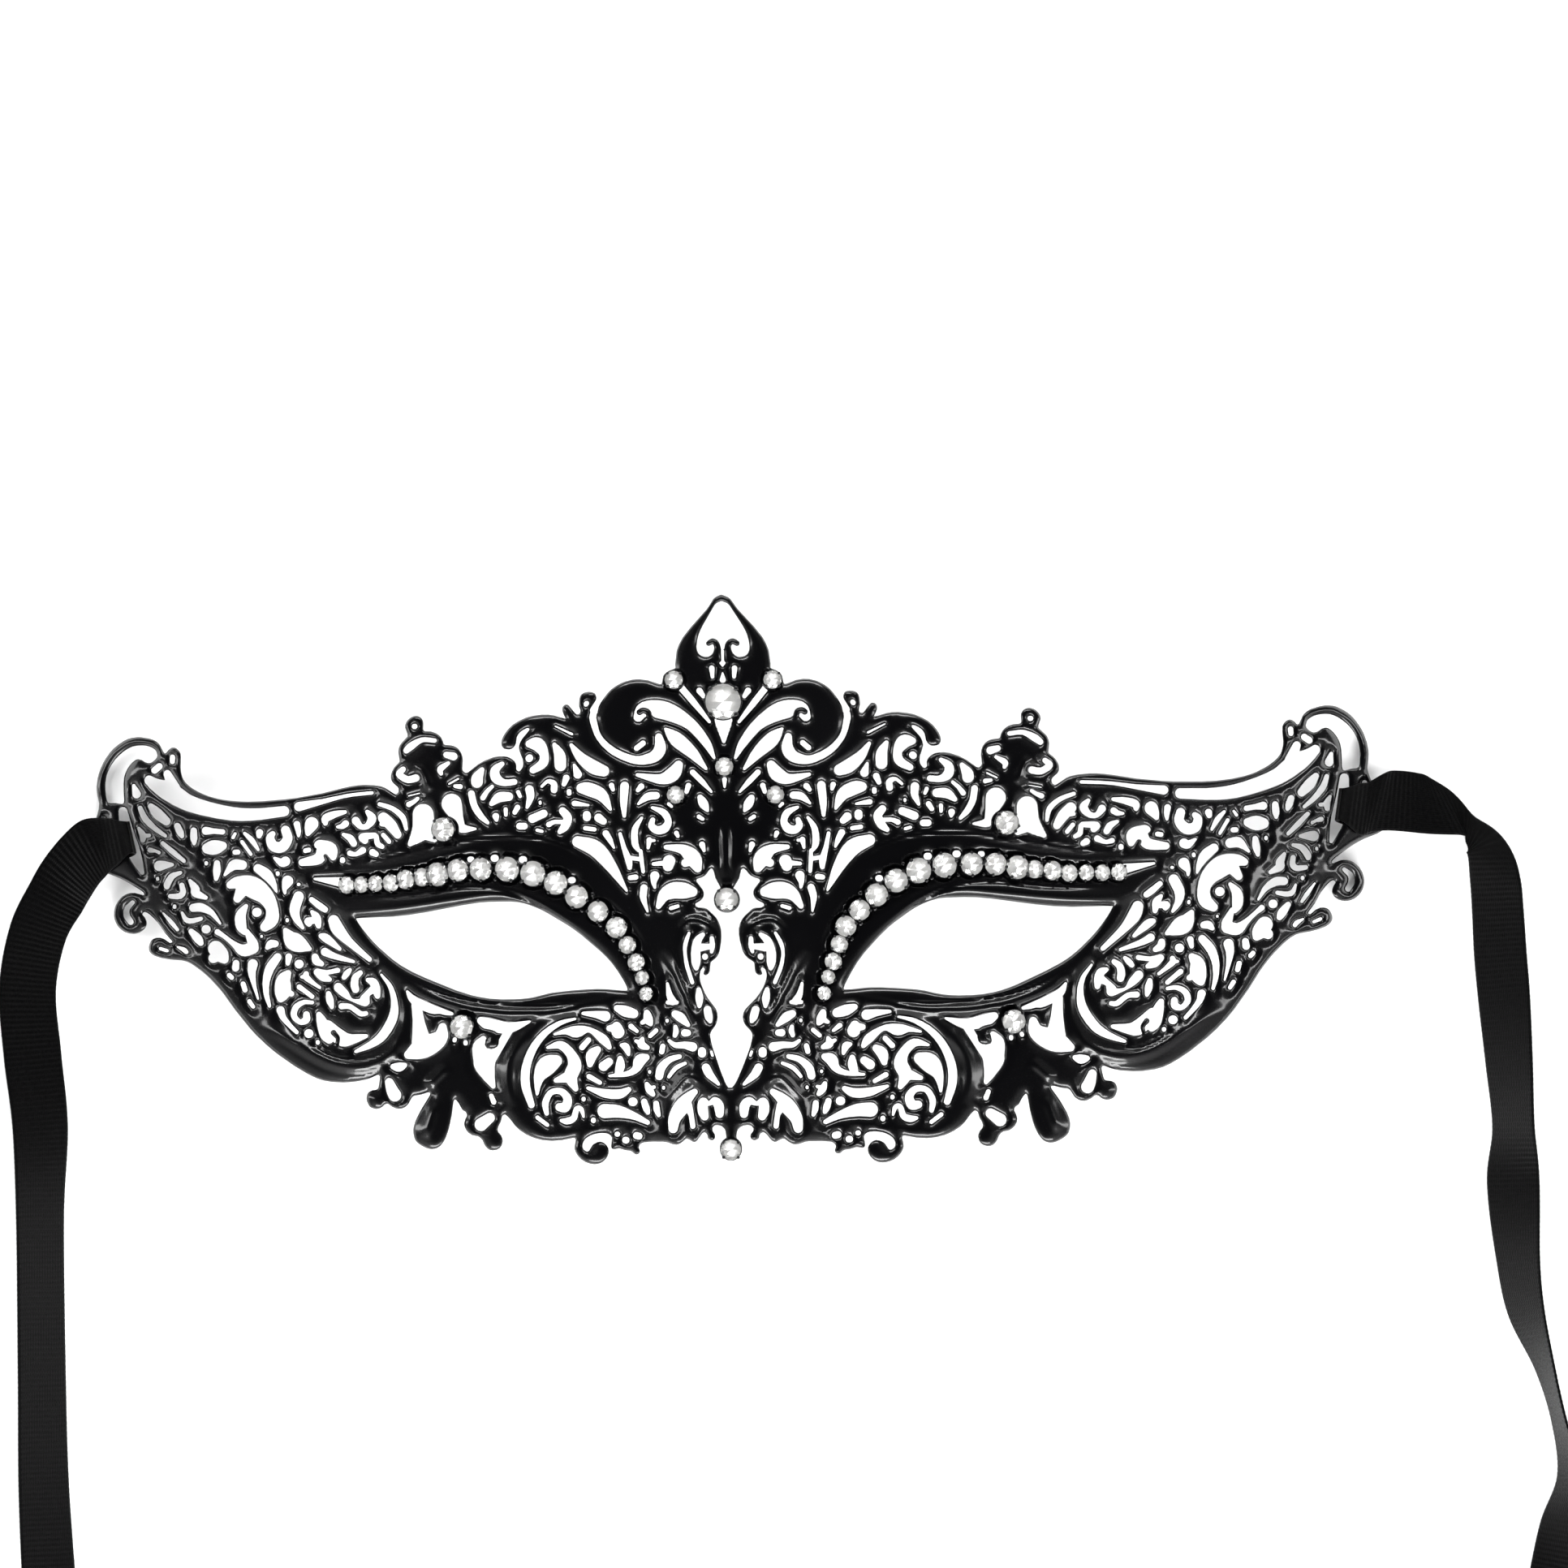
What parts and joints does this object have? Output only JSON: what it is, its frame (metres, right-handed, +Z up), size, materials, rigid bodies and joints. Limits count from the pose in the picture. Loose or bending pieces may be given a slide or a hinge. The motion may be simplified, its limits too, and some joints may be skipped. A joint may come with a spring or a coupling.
{
  "type": "masquerade mask",
  "caption": "Masquerade eye mask of pierced, arched sheet metal with pressed scrollwork, clear round stones over the brows and a flat ribbon tie at each temple.",
  "frame": {"origin": "on the floor plane, under the middle line of the mask at the height between the eyes", "axes": "+Z up out of the mask's front as it lies face up, +Y toward the crown, +X toward the viewer's right"},
  "size_m": [0.2639, 0.1636, 0.0427],
  "materials": {
    "coated_metal": "gloss black powder coat",
    "stone": "clear, foil backed",
    "ribbon": "matt ribbed weave"
  },
  "bodies": {
    "root": {"mask_frame": "coated_metal", "crown_stone_middle": "stone", "crown_stone_left": "stone", "crown_stone_right": "stone", "forehead_stone_middle": "stone", "forehead_stone_left": "stone", "forehead_stone_right": "stone", "nose_stone": "stone", "chin_stone": "stone", "brow_stone_left": "stone", "brow_stone_right": "stone", "cheek_stone_left": "stone", "cheek_stone_right": "stone", "brow_row_left": "stone", "brow_row_right": "stone", "tie_left": "ribbon", "tie_right": "ribbon"}
  },
  "joints": []
}
